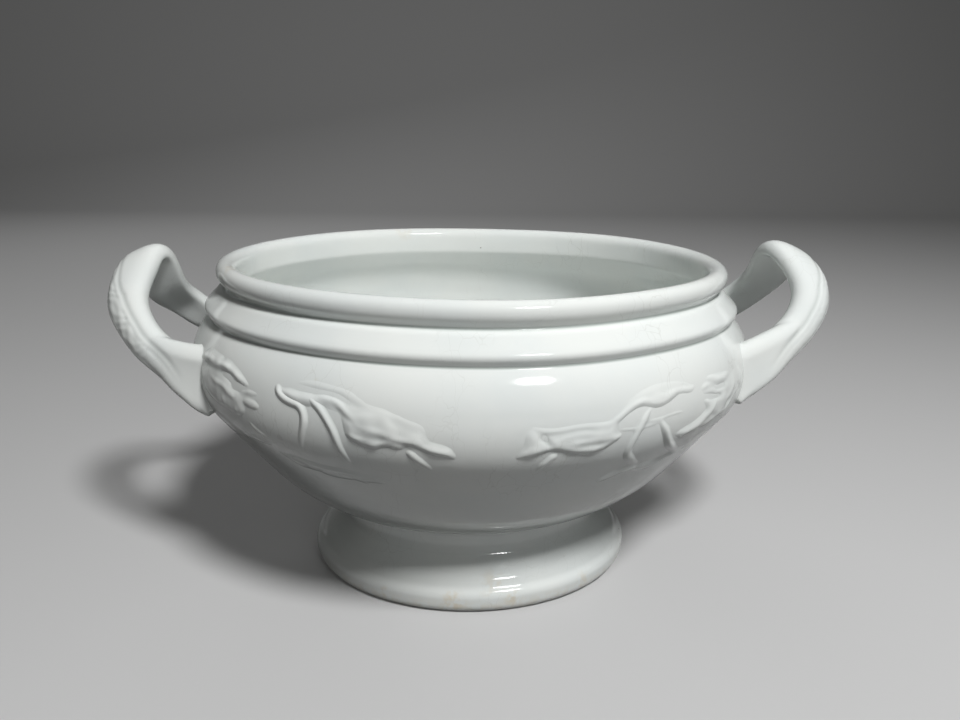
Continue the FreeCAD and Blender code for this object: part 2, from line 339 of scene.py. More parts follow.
def fused(name, parts, voxel):
    """One closed mesh of overlapping closed parts, as points and faces in millimetres."""
    points, faces = joined(parts)
    rough = new_object(name + "_rough", points, faces)
    modifier = rough.modifiers.new("fuse", "REMESH")
    modifier.mode = "VOXEL"
    modifier.voxel_size = voxel * MM
    graph = bpy.context.evaluated_depsgraph_get()
    mesh = bpy.data.meshes.new_from_object(rough.evaluated_get(graph))
    made = np.empty(len(mesh.vertices) * 3)
    mesh.vertices.foreach_get("co", made)
    corners = [tuple(face.vertices) for face in mesh.polygons]
    bpy.data.objects.remove(rough)
    return made.reshape(-1, 3) / MM, corners


def edges_of(faces):
    """The pairs of points that share an edge."""
    pairs = {tuple(sorted(pair)) for face in faces for pair in zip(face, face[1:] + face[:1])}
    return np.array(sorted(pairs))


def relaxed(points, edges, rounds, share=0.5, weight=1.0, swell=True):
    """Each point drawn towards the mean of its neighbours, every other round pushed back out."""
    degree = np.zeros(len(points))
    np.add.at(degree, edges[:, 0], 1)
    np.add.at(degree, edges[:, 1], 1)
    for k in range(rounds):
        total = np.zeros_like(points)
        for axis in range(points.shape[1]):
            total[:, axis] = np.bincount(edges[:, 0], points[edges[:, 1], axis], len(points))
            total[:, axis] += np.bincount(edges[:, 1], points[edges[:, 0], axis], len(points))
        pull = total / degree[:, None] - points
        step = share if k % 2 == 0 or not swell else -share * 0.96
        points = points + pull * step * weight
    return points


def relief_above_mean(lift, edges):
    """How far each point's lift stands above the mean over its wide neighbourhood."""
    wide = relaxed(lift[:, None], edges, 12, swell=False)
    return lift - wide[:, 0]


def normals_of(points, faces):
    """Unit normal at each point, weighted by the area of the faces round it."""
    corners = np.array([face[:3] for face in faces])
    a, b, c = (points[corners[:, k]] for k in range(3))
    face_normal = np.cross(b - a, c - a)
    normal = np.zeros_like(points)
    for face_corner in np.array([face[:4] if len(face) > 3 else face + face[:1] for face in faces]).T:
        for axis in range(3):
            normal[:, axis] += np.bincount(face_corner, face_normal[:, axis], len(points))
    return normal / np.maximum(np.linalg.norm(normal, axis=1), 1e-12)[:, None]


# Handle stations from the front root over the crown to the rear root, in millimetres:
# (x, y, z, half width, half thickness, share hollowed out underneath).
RIGHT_HANDLE = [
    (125.4, -52.8, 105.4, 1.4, 2.0, 0.0),
    (130.2, -51.2, 109.8, 3.2, 3.4, 0.0),
    (135.2, -48.8, 114.8, 5.2, 4.8, 0.0),
    (140.4, -45.6, 120.6, 7.4, 5.8, 0.0),
    (147.0, -41.4, 127.4, 8.8, 6.4, 0.1),
    (158.8, -35.0, 136.1, 9.0, 6.5, 0.3),
    (168.7, -26.0, 149.1, 10.0, 6.4, 0.4),
    (169.3, -14.0, 160.2, 11.2, 6.2, 0.45),
    (163.4, 0.0, 167.4, 10.8, 6.2, 0.45),
    (164.9, 14.0, 157.6, 11.2, 6.2, 0.45),
    (164.3, 26.0, 146.7, 10.0, 6.3, 0.4),
    (154.4, 35.0, 133.7, 9.2, 6.4, 0.3),
    (145.0, 41.4, 125.0, 8.8, 6.4, 0.1),
    (139.4, 45.6, 119.4, 7.4, 5.8, 0.0),
    (134.8, 48.8, 114.4, 5.2, 4.8, 0.0),
    (130.2, 51.2, 109.8, 3.2, 3.4, 0.0),
    (125.4, 52.8, 105.4, 1.4, 2.0, 0.0),
]
LEFT_HANDLE = [
    (-124.6, -51.0, 100.2, 2.2, 2.4, 0.0),
    (-128.6, -49.8, 103.6, 3.8, 3.8, 0.0),
    (-132.6, -47.8, 108.4, 5.6, 5.0, 0.0),
    (-137.0, -45.2, 113.8, 7.4, 5.8, 0.0),
    (-143.2, -41.4, 120.6, 8.6, 6.4, 0.1),
    (-154.8, -35.0, 128.0, 8.8, 6.5, 0.3),
    (-165.9, -26.0, 140.3, 9.4, 6.4, 0.4),
    (-170.0, -14.0, 151.4, 10.9, 6.2, 0.45),
    (-163.7, 0.0, 163.6, 10.4, 6.2, 0.45),
    (-162.5, 14.0, 146.5, 10.9, 6.2, 0.45),
    (-158.0, 26.0, 136.0, 9.6, 6.3, 0.4),
    (-147.5, 35.0, 124.5, 9.2, 6.4, 0.3),
    (-140.6, 41.4, 118.8, 8.6, 6.4, 0.1),
    (-136.0, 45.2, 112.8, 7.4, 5.8, 0.0),
    (-132.2, 47.8, 108.0, 5.6, 5.0, 0.0),
    (-128.6, 49.8, 103.6, 3.8, 3.8, 0.0),
    (-124.6, 51.0, 100.2, 2.2, 2.4, 0.0),
]
LEAN_DOWN = -0.42
# The upper and lower edges of the flare that carries each limb into the wall.
RIGHT_FLARE = (
    [
        (158.0, -35.2, 137.6, 4.6, 5.4, 0.0),
        (148.5, -40.0, 134.2, 5.4, 6.0, 0.0),
        (138.0, -44.6, 130.6, 5.8, 5.8, 0.0),
        (123.8, -49.8, 126.2, 5.8, 4.8, 0.0),
    ],
    [
        (156.0, -36.8, 133.4, 5.4, 6.0, 0.0),
        (146.5, -42.2, 126.4, 6.0, 6.2, 0.0),
        (136.5, -47.6, 117.4, 5.0, 5.4, 0.0),
        (123.9, -52.9, 105.4, 3.0, 3.6, 0.0),
    ],
)
LEFT_FLARE = (
    [
        (-153.6, -35.4, 129.6, 4.6, 5.4, 0.0),
        (-144.0, -40.0, 127.2, 5.4, 6.0, 0.0),
        (-134.5, -44.2, 126.2, 5.8, 5.6, 0.0),
        (-123.6, -48.2, 126.4, 5.8, 4.6, 0.0),
    ],
    [
        (-152.0, -37.0, 125.4, 5.4, 6.0, 0.0),
        (-143.0, -42.0, 119.4, 6.0, 6.2, 0.0),
        (-134.0, -46.8, 111.0, 5.0, 5.4, 0.0),
        (-123.8, -51.2, 101.2, 3.2, 3.8, 0.0),
    ],
)
FLARE_RIBS = 11
# How far (x, z) the rear limbs lie from a mirror image of the front ones where a flare starts, and
# how much of that is left at each station towards the wall.
RIGHT_REAR_SHIFT = (-4.2, -2.4)
LEFT_REAR_SHIFT = (7.0, -3.4)
SHIFT_LEFT_OVER = np.array([1.0, 0.45, 0.15, 0.0])
# Slab just under the belly that each limb's root is fused to: degrees from the front and
# heights, and how deep its two faces lie.
ROOT_ANGLES = (64, 116)
ROOT_SPREAD = 17
ROOT_HEIGHTS = (94, 136)
ROOT_DEPTHS = (-0.45, -2.6)
# The long groove: where it runs, as shares of the way from crown to root and of the half width,
# then how deep it is, as shares of that way and millimetres.
GROOVE_FROM_CROWN = [0.0, 0.12, 0.26, 0.42, 0.60, 1.0]
GROOVE_ACROSS = [1.25, 0.70, 0.18, 0.02, 0.10, 0.25]
DEPTH_FROM_CROWN = [0.0, 0.10, 0.25, 0.58, 0.70, 0.80]
GROOVE_DEPTH = [0.0, 0.3, 0.6, 0.6, 0.35, 0.0]
GROOVE_WIDTH = 1.5
# The fainter second groove: distance outside the first, width, and share of its depth.
SECOND_GROOVE = (3.0, 1.0, 0.25)
BEVEL_SLOPE = 0.12
STRAP_LENGTH = 190
STRAP_ROWS = 260
RIB_ROWS = 60
HANDLE_VOXEL = 0.6
# Rounds of relaxing for the whole handle, then for its roots, where it begins this far from the
# centre along the bowl and is full this much nearer.
STRAP_ROUNDS, ROOT_ROUNDS = 10, 130
RELAX_FROM, RELAX_OVER = 165, 14


def rear_of(stations):
    """The same stations on the far side."""
    return [(x, -y, z, *rest) for x, y, z, *rest in stations]


def handle_detail(points, normal, run, lean, face, inset, bark_share):
    """How far each point of a handle moves out: a long groove, and bark on the band outside it."""
    _, across, out = strap_frames(run, lean)
    nearest = np.empty(len(points), int)
    for block in range(0, len(points), 4000):
        gap = points[block:block + 4000, None] - run[None, :, :3]
        nearest[block:block + 4000] = np.argmin((gap**2).sum(-1), 1)
    offset = points - run[nearest, :3]
    width = run[nearest, 3]
    wide = (offset * across[nearest]).sum(1) / width
    upper = np.clip((normal * out[nearest]).sum(1) * -face * 1.6, 0, 1)
    share = nearest / (len(run) - 1)
    from_crown = np.abs(share - 0.5) * 2
    groove_at = np.interp(from_crown, GROOVE_FROM_CROWN, GROOVE_ACROSS) - inset
    deep = np.interp(from_crown, DEPTH_FROM_CROWN, GROOVE_DEPTH)
    past = (wide - groove_at) * width
    groove = -deep * np.exp(-((past / GROOVE_WIDTH) ** 2))
    beyond, second_width, second_share = SECOND_GROOVE
    groove -= second_share * deep * np.exp(-(((past - beyond) / second_width) ** 2))
    bevel = -BEVEL_SLOPE * np.clip(past, 0, 9) * np.clip(deep / max(GROOVE_DEPTH), 0, 1)
    band = np.clip(past / 2.0 - 0.6, 0, 1) * np.clip(from_crown / 0.15, 0, 1)
    band *= np.clip((0.66 - from_crown) / 0.2, 0, 1)
    length = share * STRAP_LENGTH
    bark = 0.10 * np.sin(0.55 * length + 0.9 * past + 1.2 * np.sin(0.23 * length))
    bark += 0.07 * np.sin(1.21 * length - 1.1 * past + 2.0 * np.sin(0.41 * length + 1.0))
    return (groove + bevel + bark * bark_share * band) * upper


def flare_ribs(flare, rear_shift):
    """Lines fanned between the flare's two edges, for the front limb and the rear one."""
    upper, lower = np.array(flare)
    for share in np.linspace(0, 1, FLARE_RIBS):
        rib = upper + (lower - upper) * share
        rear = np.array(rear_of(rib))
        rear[:, 0] += rear_shift[0] * SHIFT_LEFT_OVER
        rear[:, 2] += rear_shift[1] * SHIFT_LEFT_OVER
        yield rib
        yield rear


def make_handle(name, stations, flare, rear_shift, side, inset, bark_share):
    """A strap with its flares and roots, fused, smoothed near the wall, grooved and barked."""
    lean = np.array([side, 0.0, LEAN_DOWN])
    run = smooth_run(stations, STRAP_ROWS)
    parts = [swept(run, lean, side)]
    parts += [swept(smooth_run(rib, RIB_ROWS), lean, side) for rib in flare_ribs(flare, rear_shift)]
    for middle in ROOT_ANGLES:
        angles = (side * (middle - ROOT_SPREAD), side * (middle + ROOT_SPREAD))
        parts.append(belly_slab(angles, ROOT_HEIGHTS, *ROOT_DEPTHS))
    points, faces = fused(name, parts, HANDLE_VOXEL)
    edges = edges_of(faces)
    points = relaxed(points, edges, STRAP_ROUNDS)
    near_wall = np.clip((RELAX_FROM - np.abs(points[:, 0])) / RELAX_OVER, 0, 1)[:, None]
    points = relaxed(points, edges, ROOT_ROUNDS, weight=near_wall)
    normal = normals_of(points, faces)
    detail = handle_detail(points, normal, run, lean, side, inset, bark_share)
    # Grooves sunk below their surroundings are marked for the darker glaze: gathered glaze and painted
    # shade.
    pool_and_shade = np.clip(relief_above_mean(detail, edges) * -3.5, 0, 1)
    return new_object(name, hand_made(points + normal * detail[:, None]), faces, pool_and_shade)


right_handle = make_handle(
    "right_strap", RIGHT_HANDLE, RIGHT_FLARE, RIGHT_REAR_SHIFT, 1.0, inset=0.15, bark_share=0.35
)
left_handle = make_handle(
    "left_strap", LEFT_HANDLE, LEFT_FLARE, LEFT_REAR_SHIFT, -1.0, inset=0.35, bark_share=1.0
)


# Relief on the belly. Places are (degrees from the front, height in millimetres). A pad is an
# outline with its height and the width of its soft edge. A bead is a line with its half width
# above and below, its height, and the shares of its length over which its two ends thin out. A
# crease is a line with its half width and depth.
DEGREE = 2.35
RELIEF_STRENGTH = 0.66
RELIEF_SPACING = 0.45
RELIEF_BACK = -0.8
RELIEF_ROUNDS = 5
# Bare belly taken in round a motif: degrees and millimetres.
RELIEF_MARGIN = (2.5, 5)
# The relief fades out over the last degrees before the handle root.
FADE_END, FADE_OVER = 67, 7
LEAF_LEFT = {
    "pads": [
        ([(36, 129), (33, 130.3), (28, 130), (24, 129), (21, 127.3), (17.5, 127), (15, 125.5),
          (13, 121.8), (10, 119.7), (9, 116.5), (8, 113.5), (6.5, 111.5), (5, 108.5), (4.5, 105.5),
          (6.5, 106.6), (8.5, 107), (10.5, 109.3), (12.5, 110), (14, 108.9), (15.5, 110.3),
          (17.5, 108), (20, 109.8), (22.5, 112), (23.2, 115), (23.5, 119), (27, 123), (31, 122.3),
          (34, 124), (36.5, 127)], 1.35, 2.6),
    ],
    "beads": [
        ([(10.5, 110.8), (8, 110.2), (6.2, 108.6), (4.9, 105.8)], 2.6, 1.5, 1.3, 0.3, 0.3),
        ([(28.5, 127.2), (25.5, 126.8), (23.7, 125.2), (22.4, 122), (20.5, 119.4)],
         1.5, 1.2, 1.1, 0.2, 0.3),
        ([(35, 130.4), (30, 131), (26, 130.2), (22, 128.6), (19.5, 126.2), (15, 125)],
         2.6, 1.6, 0.4, 0.3, 0.4),
        ([(21.5, 119.3), (20, 117.6), (17, 116.2), (14, 114), (12, 113.2), (10, 111.6)],
         2.0, 1.3, 0.9, 0.3, 0.3),
        ([(22.6, 114.5), (21, 111.8), (18, 109.8), (16, 111.2), (14.4, 110.2), (12.5, 111)],
         2.2, 1.2, 0.8, 0.2, 0.3),
        ([(16, 125), (14, 122.5), (11.8, 120.4), (9.8, 118.5), (9, 116)], 1.6, 1.8, 0.4, 0.3, 0.3),
        ([(12.6, 109.2), (10.8, 104.4), (9.4, 101), (8.6, 98.2)], 1.5, 1.5, 1.2, 0.15, 0.5),
    ],
    "creases": [
        ([(34, 129), (30.5, 129), (26, 128.6), (23, 126.8), (21.8, 123.5)], 1.1, 0.8),
        ([(28, 125), (25.2, 124.9), (23.5, 123.2), (22, 120.2), (20.8, 118.4)], 1.2, 1.1),
        ([(15, 112), (12.8, 111.6), (10.8, 110)], 0.8, 0.5),
        ([(22, 114.5), (19.5, 114), (17, 113.2), (15, 112.4)], 0.8, 0.4),
    ],
}
TWIG_LEFT = {
    "pads": [
        ([(41, 96.5), (36, 95), (30, 93), (24, 92.5), (19, 91.5), (18, 88), (22, 86.5), (27, 86),
          (33, 87), (38, 90)], 1.0, 2.6),
    ],
    "beads": [
        ([(36.6, 129), (36, 126.6), (34.8, 124.6), (32.8, 123.3), (31.2, 122.2), (30.4, 118.6),
          (30.6, 114), (31.2, 110), (32, 105), (32.8, 99)], 1.4, 1.6, 2.0, 0.06, 0.45),
        ([(31.2, 127), (29, 125.5), (27.3, 122.8), (26, 119), (25, 115), (24.4, 110), (24, 106),
          (23.4, 101), (23, 96)], 1.4, 1.6, 2.0, 0.15, 0.45),
        ([(41, 96), (37, 94.4), (33, 92.4), (29, 91.4), (25, 91.4), (20, 91)], 2.4, 1.6, 1.0, 0.3, 0.3),
        ([(28.6, 93), (28.3, 90), (27.6, 87)], 1.4, 1.4, 0.5, 0.3, 0.3),
        ([(25, 88.5), (22.5, 86.2), (21.6, 84)], 1.6, 1.2, 0.5, 0.3, 0.4),
    ],
    "creases": [
        ([(36, 90.6), (33.5, 89), (31, 88.2)], 1.2, 0.5),
        ([(22, 89.4), (20.5, 89), (19, 88.4)], 1.0, 0.45),
    ],
}
ROOT_LEFT = {
    "pads": [
        ([(63, 131), (59, 134.6), (55, 134.4), (50, 133.4), (47.5, 131.8), (45, 129.2), (42.8, 125),
          (46, 125.2), (50, 127.5), (55, 127), (59, 127.4), (62, 128.6)], 1.9, 2.6),
        ([(58.5, 124.5), (54, 126), (50.5, 125.6), (47, 122.6), (46.3, 119), (48.5, 117), (51, 119.4),
          (55, 120.6)], 1.6, 2.2),
        ([(64, 126), (58, 130), (48, 128), (44, 122), (44, 113), (50, 110), (57, 112), (62, 118)], 0.9, 4.0),
    ],
    "beads": [
        ([(68, 124), (63, 128.4), (60.4, 132), (58.6, 136.4)], 1.8, 1.4, 0.9, 0.3, 0.35),
        ([(62.4, 118.4), (61.2, 116.8), (60, 114.4)], 1.8, 1.8, 0.9, 0.3, 0.3),
        ([(51.4, 118), (50.9, 115.6), (50.5, 112.6)], 1.5, 1.5, 0.9, 0.3, 0.4),
        ([(47.4, 114.8), (47, 112.8), (46.8, 110.4)], 1.4, 1.4, 0.7, 0.3, 0.4),
        ([(45, 118.8), (42.6, 118), (40.2, 117.6)], 2.4, 1.8, 0.9, 0.3, 0.3),
        ([(48, 121.6), (44, 122.6), (40, 122.8)], 1.2, 1.2, 0.6, 0.3, 0.3),
        ([(44.4, 111), (43.4, 107.6), (41.6, 104.6), (39, 102)], 1.3, 1.3, 0.6, 0.3, 0.3),
        ([(50, 99), (45.5, 100.4), (41, 100.4), (39, 102)], 1.4, 1.2, 0.9, 0.3, 0.2),
        ([(57, 131.6), (52, 130.6), (48, 128.4)], 1.4, 1.4, 0.6, 0.3, 0.3),
    ],
    "creases": [
        ([(53, 127.4), (49.5, 126.2), (46.5, 124.2), (43.4, 123.8)], 1.3, 0.8),
        ([(49, 122.7), (45, 122)], 1.2, 0.6),
        ([(56, 129), (53.5, 131), (52, 133.4)], 0.8, 0.5),
    ],
}
LEAF_RIGHT = {
    "pads": [
        ([(4.3, 104.6), (6, 105.3), (8.5, 107), (10.5, 108.7), (13, 106.8), (15.5, 105.4), (18, 105.2),
          (20, 106.7), (22, 109.2), (23.2, 112), (22.3, 115), (22.2, 118), (17, 118.2), (12, 117.6),
          (8.5, 118), (6.8, 120), (5.8, 117), (5.5, 112), (4.8, 108)], 1.3, 2.4),
        ([(21.6, 118), (24, 121), (26.5, 123), (29, 121.4), (31.5, 121.3), (33.5, 123), (35.5, 124.5),
          (38.8, 124), (39.8, 126), (37.5, 128), (34, 129.3), (30, 129.9), (26.5, 128.8),
          (23.5, 125.8), (21.8, 122.5), (20.4, 119)], 1.2, 2.2),
    ],
    "beads": [
        ([(4.5, 105.6), (6.5, 107), (8.6, 108.6), (10.4, 109.8), (13, 108.4), (16, 107), (18.5, 107),
          (20.8, 108.8), (22.4, 112)], 2.6, 1.2, 1.0, 0.15, 0.2),
        ([(5, 106.4), (7, 109), (9.4, 109.6)], 2.4, 1.6, 0.9, 0.3, 0.3),
        ([(6.4, 120.8), (8, 118.3), (12, 117.3), (15, 117.9), (18, 117.7), (21.2, 118.4), (22.8, 121),
          (24.6, 123.4), (26.6, 124.2), (29.4, 123), (32, 123.6), (34, 126), (35, 128)],
         1.4, 1.1, 0.6, 0.1, 0.2),
        ([(21.6, 121), (23.6, 124.8), (26.8, 127.8), (30, 129.2), (35, 128.6), (38.6, 126.6), (40, 124)],
         1.8, 1.8, 0.35, 0.3, 0.3),
        ([(31, 126), (33, 126.8), (35, 126.4), (38, 124.8)], 1.3, 1.2, 0.4, 0.3, 0.3),
        ([(10.6, 113.4), (13, 114.6), (15.5, 115), (18.5, 114.2)], 1.4, 1.2, 0.7, 0.3, 0.3),
        ([(12.4, 110.6), (15, 111.3), (18, 111.6), (20, 111.5), (22, 113.4)], 1.3, 1.1, 0.7, 0.3, 0.2),
        ([(11.4, 107), (10.4, 103.8), (9.5, 101), (8.9, 96.6)], 1.6, 1.6, 1.4, 0.15, 0.45),
    ],
    "creases": [
        ([(8.2, 115.4), (9.4, 113.2), (10.6, 110)], 1.1, 1.1),
        ([(14, 109.4), (17, 109.6), (20, 109.9)], 0.9, 0.35),
        ([(24.6, 122.2), (26.6, 122.6), (29, 121.2)], 0.8, 0.4),
    ],
}
TWIG_RIGHT = {
    "pads": [
        ([(22.5, 83.4), (25, 84.6), (27.5, 87), (31, 86.6), (34.5, 84.6), (37, 86), (40, 89), (44, 89.8),
          (45, 92.6), (38, 94), (30, 93), (24, 90)], 1.0, 2.6),
    ],
    "beads": [
        ([(28.6, 122.2), (27.4, 118.5), (26.4, 114), (25.8, 110), (25.3, 105), (25.6, 101), (27, 97.6),
          (29, 94), (31.5, 91)], 1.5, 1.5, 1.5, 0.15, 0.3),
        ([(30.4, 115.6), (32.3, 110.4), (33.8, 105.5), (35.5, 101), (38, 97), (40.5, 93.6), (43.5, 90)],
         1.6, 1.5, 2.0, 0.2, 0.4),
        ([(21.5, 114.8), (26, 113.6), (31, 114.4)], 0.8, 0.8, 0.5, 0.15, 0.15),
        ([(27, 116.2), (31, 115.9), (33, 116.4), (38.5, 115.8)], 0.8, 0.8, 0.5, 0.15, 0.3),
        ([(23, 83.6), (25.6, 86), (28, 88.4), (31.5, 89.6)], 2.6, 1.2, 0.9, 0.25, 0.3),
        ([(33.6, 85.2), (36, 86.6), (38.4, 88.8), (41, 91), (45, 91.4)], 2.6, 1.3, 1.0, 0.25, 0.3),
    ],
    "creases": [
        ([(30, 92), (31.4, 89.4), (31.6, 87)], 1.1, 0.4),
    ],
}
ROOT_RIGHT = {
    "pads": [
        ([(36, 104.8), (39, 103.6), (42, 104.4), (45, 104.4), (48, 106), (51, 106), (53, 109),
          (52, 112), (54.5, 115), (52, 118), (50, 121.5), (46, 120), (43, 121.4), (40, 120.4),
          (42, 117), (43, 113), (40, 109.4)], 1.0, 2.4),
        ([(40.5, 122), (45, 122.3), (50, 123), (53, 126), (50, 129.4), (44, 128.8), (41, 126)], 0.8, 3.0),
        ([(50, 112), (56, 113), (62, 118), (60, 126), (54, 128), (49, 124)], 0.8, 3.4),
    ],
    "beads": [
        ([(35.6, 105.6), (38, 105.2), (41, 106.8), (43.5, 110), (45.5, 113.6), (46.6, 117)],
         3.0, 2.0, 1.3, 0.2, 0.3),
        ([(41, 121.4), (44, 121.6), (47, 119.8), (51, 119.6)], 1.6, 1.1, 0.7, 0.3, 0.3),
        ([(43, 104.6), (46, 106), (48.5, 108.4), (49.5, 112)], 1.7, 1.3, 0.8, 0.3, 0.3),
        ([(51, 107), (53, 110.4), (54.6, 114.6), (56.6, 118)], 1.8, 1.5, 0.9, 0.3, 0.3),
        ([(42, 127.4), (45, 126.8), (49, 124.6), (52, 124.6)], 1.5, 1.2, 0.6, 0.3, 0.3),
        ([(50.5, 115), (53.4, 119), (54, 124)], 1.6, 1.4, 0.6, 0.3, 0.3),
    ],
    "creases": [
        ([(39.6, 118.6), (42, 119.4), (45, 118.4), (49, 117.2)], 1.1, 0.8),
        ([(42.8, 126), (44.6, 125.2), (46.8, 124)], 0.9, 0.5),
        ([(45.6, 121.8), (48.8, 121)], 0.9, 0.5),
        ([(45, 111), (46.6, 109.2), (48.6, 107.4)], 1.0, 0.6),
        ([(55.4, 119), (57, 116.8), (58.6, 115.6)], 1.1, 0.6),
    ],
}


def drawn(line):
    """A smooth run of close points through places on the belly, in millimetres of belly."""
    return smooth_run([(angle * DEGREE, height, 0) for angle, height in line], 24 * len(line))[:, :2]


def nearest_on(run, across, up):
    """Distance to a run, the nearest point's share along it, the side, and the rise from it."""
    gap_across, gap_up = across[..., None] - run[:, 0], up[..., None] - run[:, 1]
    gap = np.hypot(gap_across, gap_up)
    nearest = gap.argmin(-1)
    way = np.gradient(run, axis=0)[nearest]
    take = nearest[..., None]
    right = np.take_along_axis(gap_across, take, -1)[..., 0]
    rise = np.take_along_axis(gap_up, take, -1)[..., 0]
    above = way[..., 0] * rise - way[..., 1] * right > 0
    return np.take_along_axis(gap, take, -1)[..., 0], nearest / (len(run) - 1), above, rise


def bead_height(across, up, line, wide_above, wide_below, height, first_end, last_end):
    """Height of a raised line, thinning out towards its ends."""
    run = drawn(line)
    gap, share, left_of, _ = nearest_on(run, across, up)
    upward = left_of == (run[-1, 0] > run[0, 0])
    thin = np.clip(share / first_end, 0, 1) * np.clip((1 - share) / last_end, 0, 1)
    reach = np.where(upward, wide_above, wide_below) * (0.5 + 0.8 * thin)
    return height * thin**0.7 * np.cos(np.clip(gap / reach, 0, 1) * math.pi / 2) ** 2


def pad_height(across, up, corners, height, edge):
    """Height of a raised patch, whose edge is steep below and slopes gently above."""
    run = drawn(corners + corners[:1])
    inside = np.zeros(across.shape, bool)
    for (x0, y0), (x1, y1) in zip(run, np.roll(run, -1, axis=0)):
        if y0 != y1:
            crosses = (y0 > up) != (y1 > up)
            inside ^= crosses & (across < x0 + (up - y0) * (x1 - x0) / (y1 - y0))
    gap, _, _, rise = nearest_on(run, across, up)
    steepness = 0.5 + 0.5 * rise / np.maximum(gap, 1e-6)
    share = np.clip(gap / (edge * (2.6 - 1.6 * steepness)) * inside, 0, 1)
    return height * share * share * (3 - 2 * share)


def relief(name, motif, side, rear):
    """One motif as a thin closed sheet, its border sunk just under the belly."""
    places = [place for corners, *_ in motif["pads"] for place in corners]
    places += [place for line, *_ in motif["beads"] for place in line]
    angles, heights = zip(*places)
    aside, beyond = RELIEF_MARGIN
    angle = np.arange(min(angles) - aside, max(angles) + aside, RELIEF_SPACING / DEGREE)
    height = np.arange(min(heights) - beyond, max(heights) + beyond, RELIEF_SPACING)
    angle, height = np.meshgrid(angle, height)
    across = angle * DEGREE
    pads = sum(pad_height(across, height, *pad) ** 4 for pad in motif["pads"]) ** 0.25
    beads = sum(bead_height(across, height, *bead) ** 3 for bead in motif["beads"]) ** (1 / 3)
    raised = 0.65 * (pads + beads) + 0.35 * np.maximum(pads, beads)
    worn = np.sin(0.55 * across + 0.30 * height) * np.sin(0.47 * height - 0.22 * across + 1.0)
    raised += 0.2 * pads * worn
    for line, width, depth in motif["creases"]:
        gap, share, _, _ = nearest_on(drawn(line), across, height)
        ends = np.clip(share / 0.2, 0, 1) * np.clip((1 - share) / 0.2, 0, 1)
        raised -= depth * ends * np.exp(-((gap / width) ** 2)) * np.clip(raised / 0.4, 0, 1)
    raised *= RELIEF_STRENGTH * np.clip((FADE_END - angle) / FADE_OVER, 0, 1)
    for axis in (0, 1) * RELIEF_ROUNDS:
        ahead, behind = np.roll(raised, 1, axis), np.roll(raised, -1, axis)
        raised = 0.5 * raised + 0.25 * (ahead + behind)
    sunk = 0.16 * np.clip(1 - raised / 0.3, 0, 1)
    shown = raised > 0.01
    for _ in range(2):
        grown = shown.copy()
        grown[1:] |= shown[:-1]
        grown[:-1] |= shown[1:]
        grown[:, 1:] |= shown[:, :-1]
        grown[:, :-1] |= shown[:, 1:]
        shown = grown
    keep = shown[:-1, :-1] & shown[1:, :-1] & shown[:-1, 1:] & shown[1:, 1:]
    # Dips between raised parts are marked for the darker glaze: gathered glaze and painted shade.
    hollow = -4 * raised
    for shift, axis in ((4, 0), (-4, 0), (4, 1), (-4, 1)):
        hollow += np.roll(raised, shift, axis)
    upper = on_belly(side * angle, height, raised - sunk)
    lower = on_belly(side * angle, height, np.full_like(raised, RELIEF_BACK))
    upper = np.dstack([upper, hollow * 0.45])
    lower = np.dstack([lower, hollow * 0])
    points, faces = closed_sheet(upper, lower, keep)
    points, pool_and_shade = points[:, :3], points[:, 3]
    if rear:
        points[:, 1] *= -1
    if (side < 0) != rear:
        faces = [face[::-1] for face in faces]
    return new_object(name, hand_made(points), faces, pool_and_shade)


RELIEF = {
    "leaf_spray": ("leaves", LEAF_LEFT, LEAF_RIGHT),
    "twig": ("twigs", TWIG_LEFT, TWIG_RIGHT),
    "root_leaf": ("root_leaves", ROOT_LEFT, ROOT_RIGHT),
}
relief_pieces = {}
for motif_name, (piece_name, on_left, on_right) in RELIEF.items():
    for end, side, motif in (("left", -1, on_left), ("right", 1, on_right)):
        for face, rear in (("front", False), ("rear", True)):
            made = relief(f"{piece_name}_{face}_{end}", motif, side, rear)
            relief_pieces[f"{motif_name}_{face}_{end}"] = made


def socket(node, name):
    """A node's input socket."""
    return node.inputs[name]


class Wiring:
    """Adds nodes to a material and links them."""

    def __init__(self, name):
        self.material = bpy.data.materials.new(name)
        self.material.use_nodes = True
        self.tree = self.material.node_tree
        self.shader = self.tree.nodes["Principled BSDF"]

    def add(self, kind, inputs=(), **settings):
        """A new node's outputs; inputs holds values or the outputs of other nodes."""
        node = self.tree.nodes.new("ShaderNode" + kind)
        for key, setting in settings.items():
            setattr(node, key, setting)
        for key, given in dict(inputs).items():
            if isinstance(given, bpy.types.NodeSocket):
                self.tree.links.new(given, node.inputs[key])
            else:
                node.inputs[key].default_value = given
        return node.outputs

    def band(self, source, low, high, bottom=0.0, top=1.0):
        """The source rising from bottom at low to top at high, held level outside."""
        return self.add("MapRange", {
            "Value": source, "From Min": low, "From Max": high, "To Min": bottom, "To Max": top,
        }, interpolation_type="SMOOTHSTEP")[0]

    def times(self, first, second):
        """The product of two values."""
        return self.add("Math", {0: first, 1: second}, operation="MULTIPLY")[0]

    def blend(self, share, under, over):
        """Colour going from under to over by share."""
        node = self.tree.nodes.new("ShaderNodeMix")
        node.data_type = "RGBA"
        sockets = [item for item in node.inputs if item.type == "RGBA"]
        for item, given in zip([node.inputs[0], *sockets], (share, under, over)):
            if isinstance(given, bpy.types.NodeSocket):
                self.tree.links.new(given, item)
            else:
                item.default_value = given
        return [item for item in node.outputs if item.type == "RGBA"][0]


WHITE = (0.80, 0.825, 0.80, 1)
COOL = (0.765, 0.80, 0.785, 1)
# Darker grey-green for hollows: partly glaze gathered there, partly painted shade.
POOLED_AND_SHADED = (0.50, 0.545, 0.52, 1)
CRAZE = (0.52, 0.53, 0.49, 1)
PIT = (0.16, 0.12, 0.08, 1)
TAN = (0.63, 0.52, 0.33, 1)
